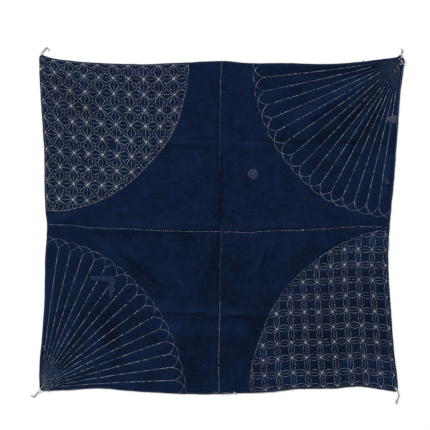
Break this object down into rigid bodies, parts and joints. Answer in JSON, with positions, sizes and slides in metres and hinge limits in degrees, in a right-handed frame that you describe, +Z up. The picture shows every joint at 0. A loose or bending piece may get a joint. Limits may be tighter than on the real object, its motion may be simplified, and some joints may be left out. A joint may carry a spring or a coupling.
{
  "type": "boro patched cloth",
  "caption": "Indigo cotton wrapping cloth laid flat: loom widths joined at a centre seam, white running-stitch corner motifs, small mending patches and corner ties.",
  "frame": {"origin": "centre of the outline of the cloth, on the surface that it lies on", "axes": "+Z up off the surface, +X towards the right edge and +Y towards the top edge as the cloth is seen from above; the centre seam runs along Y"},
  "size_m": [0.7105, 0.6771, 0.005],
  "materials": {
    "indigo_cotton": "hand-woven plain-weave cotton, deep indigo, worn and slightly faded",
    "mauve_patch_cotton": "thin worn cotton, greyish mauve-blue with faint slanting streaks",
    "grey_patch_cotton": "thin cotton, grey with faint upright stripes",
    "faded_indigo_cotton": "thin faded indigo cotton",
    "cotton_string": "twisted undyed cotton string, greyed with use"
  },
  "bodies": {
    "root": {"left_panel": "indigo_cotton", "right_panel": "indigo_cotton", "round_patch": "mauve_patch_cotton", "edge_patch": "grey_patch_cotton", "tear_patch": "faded_indigo_cotton", "tie_top_left": "cotton_string", "tie_top_right": "cotton_string", "tie_bottom_left": "cotton_string", "tie_bottom_right": "cotton_string"}
  },
  "joints": []
}
